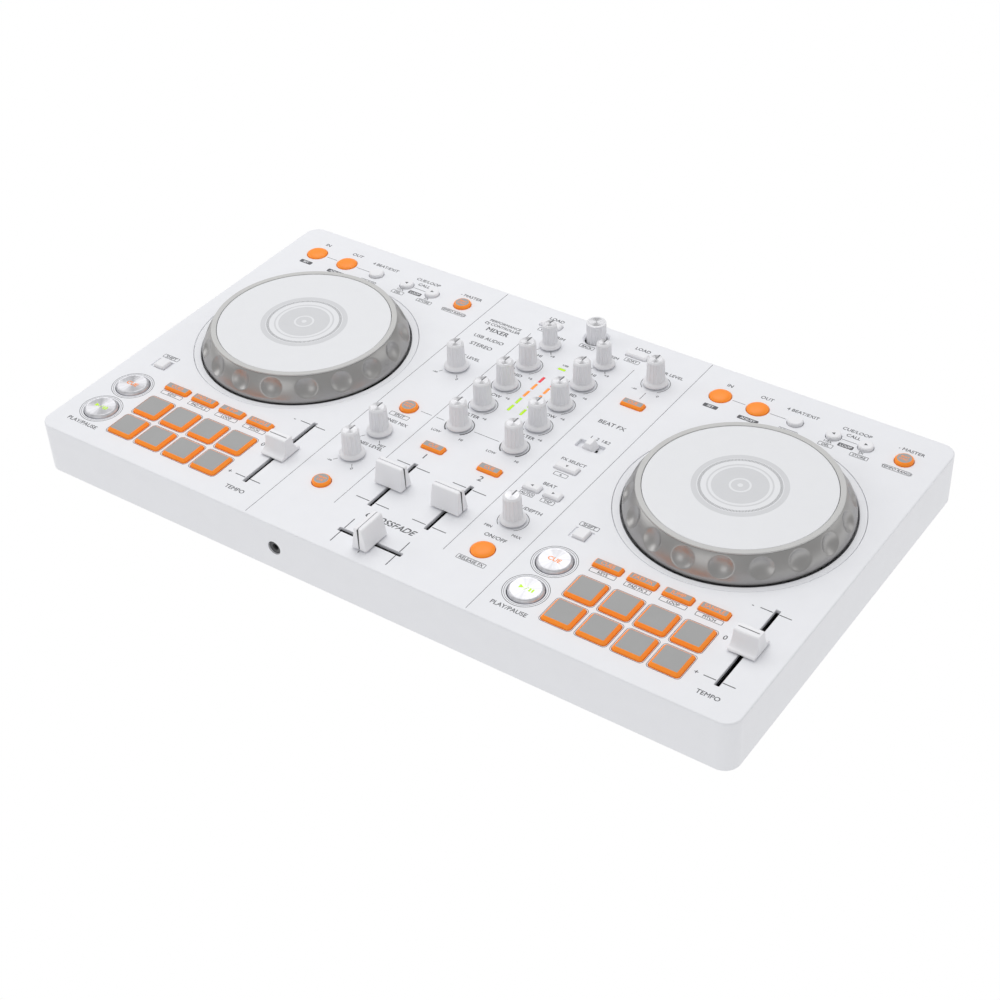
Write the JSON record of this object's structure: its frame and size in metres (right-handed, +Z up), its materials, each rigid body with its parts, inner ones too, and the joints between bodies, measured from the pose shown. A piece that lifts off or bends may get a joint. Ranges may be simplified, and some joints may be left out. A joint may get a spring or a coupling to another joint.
{
  "type": "dj controller",
  "caption": "White two-deck DJ controller with jog wheels, lit pads, tempo and channel faders, mixer knobs and a crossfader, for mixing music from a computer.",
  "frame": {"origin": "on the table, under the middle of the whole controller's box", "axes": "+X to the right deck, +Y to the back where the sockets are, +Z up"},
  "size_m": [0.482, 0.2724, 0.0592],
  "materials": {
    "case_white": "fine satin texture",
    "tray_white": "matte",
    "foot_rubber": "matte",
    "screw_steel": "zinc plated",
    "board_green": "solder mask",
    "pot_steel": "stamped",
    "fader_steel": "stamped",
    "socket_black": "satin",
    "jack_black": "satin",
    "meter_lens": "translucent",
    "spindle_steel": "turned",
    "rim_silver": "satin plated",
    "grip_grey": "matte",
    "jog_top_white": "satin, printed rings",
    "carrier_black": "matte",
    "knob_white": "satin",
    "fader_white": "satin",
    "switch_white": "satin",
    "transport_metal": "radially spun",
    "key_white": "satin",
    "key_orange": "translucent edge, grey cap",
    "pad_orange": "translucent edge, grey top"
  },
  "bodies": {
    "case": {"top_case": "case_white", "bottom_case": "tray_white", "rubber_feet": "foot_rubber", "case_screws": "screw_steel", "circuit_boards": "board_green", "potentiometers": "pot_steel", "fader_units": "fader_steel", "rear_sockets": "socket_black", "headphone_jack": "jack_black", "level_meter_lenses": "meter_lens", "jog_spindles": "spindle_steel"},
    "left_jog": {"left_jog_rim": "rim_silver", "left_jog_grip_ring": "grip_grey", "left_jog_top_plate": "jog_top_white", "left_jog_carrier": "carrier_black"},
    "right_jog": {"right_jog_rim": "rim_silver", "right_jog_grip_ring": "grip_grey", "right_jog_top_plate": "jog_top_white", "right_jog_carrier": "carrier_black"},
    "trim_knob_1": {"trim_knob_1": "knob_white"},
    "high_knob_1": {"high_knob_1": "knob_white"},
    "mid_knob_1": {"mid_knob_1": "knob_white"},
    "low_knob_1": {"low_knob_1": "knob_white"},
    "filter_knob_1": {"filter_knob_1": "knob_white"},
    "trim_knob_2": {"trim_knob_2": "knob_white"},
    "high_knob_2": {"high_knob_2": "knob_white"},
    "mid_knob_2": {"mid_knob_2": "knob_white"},
    "low_knob_2": {"low_knob_2": "knob_white"},
    "filter_knob_2": {"filter_knob_2": "knob_white"},
    "mic_level_knob": {"mic_level_knob": "knob_white"},
    "headphone_mix_knob": {"headphone_mix_knob": "knob_white"},
    "headphone_level_knob": {"headphone_level_knob": "knob_white"},
    "master_level_knob": {"master_level_knob": "knob_white"},
    "effect_depth_knob": {"effect_depth_knob": "knob_white"},
    "browse_knob": {"browse_knob": "knob_white"},
    "left_tempo_fader": {"left_tempo_fader_cap": "fader_white"},
    "right_tempo_fader": {"right_tempo_fader_cap": "fader_white"},
    "channel_fader_1": {"channel_fader_cap_1": "fader_white"},
    "channel_fader_2": {"channel_fader_cap_2": "fader_white"},
    "crossfader": {"crossfader_cap": "fader_white"},
    "channel_select_switch": {"channel_select_switch": "switch_white"},
    "left_play_button": {"left_play_button": "transport_metal"},
    "left_cue_button": {"left_cue_button": "transport_metal"},
    "left_shift_button": {"left_shift_button": "key_white"},
    "left_sync_button": {"left_sync_button": "key_orange"},
    "left_pad_mat": {"left_pad_mat": "pad_orange"},
    "left_mode_keys": {"left_mode_keys": "key_orange"},
    "left_loop_keys": {"left_loop_keys": "key_orange"},
    "right_play_button": {"right_play_button": "transport_metal"},
    "right_cue_button": {"right_cue_button": "transport_metal"},
    "right_shift_button": {"right_shift_button": "key_white"},
    "right_sync_button": {"right_sync_button": "key_orange"},
    "right_pad_mat": {"right_pad_mat": "pad_orange"},
    "right_mode_keys": {"right_mode_keys": "key_orange"},
    "right_loop_keys": {"right_loop_keys": "key_orange"},
    "load_buttons": {"load_buttons": "key_white"},
    "cue_select_buttons": {"cue_select_buttons": "key_orange"},
    "assist_buttons": {"assist_buttons": "key_orange"},
    "effect_keys": {"effect_keys": "key_white"},
    "effect_on_button": {"effect_on_button": "key_orange"}
  },
  "joints": [
    {"name": "left_jog_spin", "type": "hinge", "parent": "case", "child": "left_jog", "pos_m": [-0.1552, 0.0166, 0.0406], "axis": [0, 0, 1], "continuous": true},
    {"name": "right_jog_spin", "type": "hinge", "parent": "case", "child": "right_jog", "pos_m": [0.1585, 0.0166, 0.0406], "axis": [0, 0, 1], "continuous": true},
    {"name": "trim_knob_1_turn", "type": "hinge", "parent": "case", "child": "trim_knob_1", "pos_m": [-0.02, 0.0936, 0.0406], "axis": [0, 0, 1], "range_deg": [-145, 145]},
    {"name": "high_knob_1_turn", "type": "hinge", "parent": "case", "child": "high_knob_1", "pos_m": [-0.02, 0.0688, 0.0406], "axis": [0, 0, 1], "range_deg": [-145, 145]},
    {"name": "mid_knob_1_turn", "type": "hinge", "parent": "case", "child": "mid_knob_1", "pos_m": [-0.02, 0.0443, 0.0406], "axis": [0, 0, 1], "range_deg": [-145, 145]},
    {"name": "low_knob_1_turn", "type": "hinge", "parent": "case", "child": "low_knob_1", "pos_m": [-0.02, 0.0198, 0.0406], "axis": [0, 0, 1], "range_deg": [-145, 145]},
    {"name": "filter_knob_1_turn", "type": "hinge", "parent": "case", "child": "filter_knob_1", "pos_m": [-0.02, -0.0047, 0.0406], "axis": [0, 0, 1], "range_deg": [-145, 145]},
    {"name": "trim_knob_2_turn", "type": "hinge", "parent": "case", "child": "trim_knob_2", "pos_m": [0.02, 0.0936, 0.0406], "axis": [0, 0, 1], "range_deg": [-145, 145]},
    {"name": "high_knob_2_turn", "type": "hinge", "parent": "case", "child": "high_knob_2", "pos_m": [0.02, 0.0688, 0.0406], "axis": [0, 0, 1], "range_deg": [-145, 145]},
    {"name": "mid_knob_2_turn", "type": "hinge", "parent": "case", "child": "mid_knob_2", "pos_m": [0.02, 0.0443, 0.0406], "axis": [0, 0, 1], "range_deg": [-145, 145]},
    {"name": "low_knob_2_turn", "type": "hinge", "parent": "case", "child": "low_knob_2", "pos_m": [0.02, 0.0198, 0.0406], "axis": [0, 0, 1], "range_deg": [-145, 145]},
    {"name": "filter_knob_2_turn", "type": "hinge", "parent": "case", "child": "filter_knob_2", "pos_m": [0.02, -0.0047, 0.0406], "axis": [0, 0, 1], "range_deg": [-145, 145]},
    {"name": "mic_level_knob_turn", "type": "hinge", "parent": "case", "child": "mic_level_knob", "pos_m": [-0.0573, 0.0443, 0.0406], "axis": [0, 0, 1], "range_deg": [-145, 145]},
    {"name": "headphone_mix_knob_turn", "type": "hinge", "parent": "case", "child": "headphone_mix_knob", "pos_m": [-0.0573, -0.0343, 0.0406], "axis": [0, 0, 1], "range_deg": [-145, 145]},
    {"name": "headphone_level_knob_turn", "type": "hinge", "parent": "case", "child": "headphone_level_knob", "pos_m": [-0.0573, -0.0607, 0.0406], "axis": [0, 0, 1], "range_deg": [-145, 145]},
    {"name": "master_level_knob_turn", "type": "hinge", "parent": "case", "child": "master_level_knob", "pos_m": [0.0573, 0.0936, 0.0406], "axis": [0, 0, 1], "range_deg": [-145, 145]},
    {"name": "effect_depth_knob_turn", "type": "hinge", "parent": "case", "child": "effect_depth_knob", "pos_m": [0.0573, -0.0607, 0.0406], "axis": [0, 0, 1], "range_deg": [-145, 145]},
    {"name": "browse_knob_turn", "type": "hinge", "parent": "case", "child": "browse_knob", "pos_m": [0, 0.1163, 0.0406], "axis": [0, 0, 1], "continuous": true},
    {"name": "left_tempo_fader_slide", "type": "slide", "parent": "case", "child": "left_tempo_fader", "axis": [0, 1, 0], "range_m": [-0.03, 0.03]},
    {"name": "right_tempo_fader_slide", "type": "slide", "parent": "case", "child": "right_tempo_fader", "axis": [0, 1, 0], "range_m": [-0.03, 0.03]},
    {"name": "channel_fader_1_slide", "type": "slide", "parent": "case", "child": "channel_fader_1", "axis": [0, 1, 0], "range_m": [-0.0195, 0.0195]},
    {"name": "channel_fader_2_slide", "type": "slide", "parent": "case", "child": "channel_fader_2", "axis": [0, 1, 0], "range_m": [-0.0195, 0.0195]},
    {"name": "crossfader_slide", "type": "slide", "parent": "case", "child": "crossfader", "axis": [1, 0, 0], "range_m": [-0.0195, 0.0195]},
    {"name": "channel_select_slide", "type": "slide", "parent": "case", "child": "channel_select_switch", "axis": [1, 0, 0], "range_m": [-0.004, 0.004]},
    {"name": "left_play_button_press", "type": "slide", "parent": "case", "child": "left_play_button", "axis": [0, 0, 1], "range_m": [-0.0008, 0], "stiffness_N_per_m": 800, "springref_m": 0.001},
    {"name": "left_cue_button_press", "type": "slide", "parent": "case", "child": "left_cue_button", "axis": [0, 0, 1], "range_m": [-0.0008, 0], "stiffness_N_per_m": 800, "springref_m": 0.001},
    {"name": "left_shift_button_press", "type": "slide", "parent": "case", "child": "left_shift_button", "axis": [0, 0, 1], "range_m": [-0.0008, 0], "stiffness_N_per_m": 800, "springref_m": 0.001},
    {"name": "left_sync_button_press", "type": "slide", "parent": "case", "child": "left_sync_button", "axis": [0, 0, 1], "range_m": [-0.0008, 0], "stiffness_N_per_m": 800, "springref_m": 0.001},
    {"name": "left_pad_mat_press", "type": "slide", "parent": "case", "child": "left_pad_mat", "axis": [0, 0, 1], "range_m": [-0.0008, 0], "stiffness_N_per_m": 800, "springref_m": 0.001},
    {"name": "left_mode_keys_press", "type": "slide", "parent": "case", "child": "left_mode_keys", "axis": [0, 0, 1], "range_m": [-0.0008, 0], "stiffness_N_per_m": 800, "springref_m": 0.001},
    {"name": "left_loop_keys_press", "type": "slide", "parent": "case", "child": "left_loop_keys", "axis": [0, 0, 1], "range_m": [-0.0008, 0], "stiffness_N_per_m": 800, "springref_m": 0.001},
    {"name": "right_play_button_press", "type": "slide", "parent": "case", "child": "right_play_button", "axis": [0, 0, 1], "range_m": [-0.0008, 0], "stiffness_N_per_m": 800, "springref_m": 0.001},
    {"name": "right_cue_button_press", "type": "slide", "parent": "case", "child": "right_cue_button", "axis": [0, 0, 1], "range_m": [-0.0008, 0], "stiffness_N_per_m": 800, "springref_m": 0.001},
    {"name": "right_shift_button_press", "type": "slide", "parent": "case", "child": "right_shift_button", "axis": [0, 0, 1], "range_m": [-0.0008, 0], "stiffness_N_per_m": 800, "springref_m": 0.001},
    {"name": "right_sync_button_press", "type": "slide", "parent": "case", "child": "right_sync_button", "axis": [0, 0, 1], "range_m": [-0.0008, 0], "stiffness_N_per_m": 800, "springref_m": 0.001},
    {"name": "right_pad_mat_press", "type": "slide", "parent": "case", "child": "right_pad_mat", "axis": [0, 0, 1], "range_m": [-0.0008, 0], "stiffness_N_per_m": 800, "springref_m": 0.001},
    {"name": "right_mode_keys_press", "type": "slide", "parent": "case", "child": "right_mode_keys", "axis": [0, 0, 1], "range_m": [-0.0008, 0], "stiffness_N_per_m": 800, "springref_m": 0.001},
    {"name": "right_loop_keys_press", "type": "slide", "parent": "case", "child": "right_loop_keys", "axis": [0, 0, 1], "range_m": [-0.0008, 0], "stiffness_N_per_m": 800, "springref_m": 0.001},
    {"name": "load_buttons_press", "type": "slide", "parent": "case", "child": "load_buttons", "axis": [0, 0, 1], "range_m": [-0.0008, 0], "stiffness_N_per_m": 800, "springref_m": 0.001},
    {"name": "cue_select_buttons_press", "type": "slide", "parent": "case", "child": "cue_select_buttons", "axis": [0, 0, 1], "range_m": [-0.0008, 0], "stiffness_N_per_m": 800, "springref_m": 0.001},
    {"name": "assist_buttons_press", "type": "slide", "parent": "case", "child": "assist_buttons", "axis": [0, 0, 1], "range_m": [-0.0008, 0], "stiffness_N_per_m": 800, "springref_m": 0.001},
    {"name": "effect_keys_press", "type": "slide", "parent": "case", "child": "effect_keys", "axis": [0, 0, 1], "range_m": [-0.0008, 0], "stiffness_N_per_m": 800, "springref_m": 0.001},
    {"name": "effect_on_button_press", "type": "slide", "parent": "case", "child": "effect_on_button", "axis": [0, 0, 1], "range_m": [-0.0008, 0], "stiffness_N_per_m": 800, "springref_m": 0.001}
  ]
}
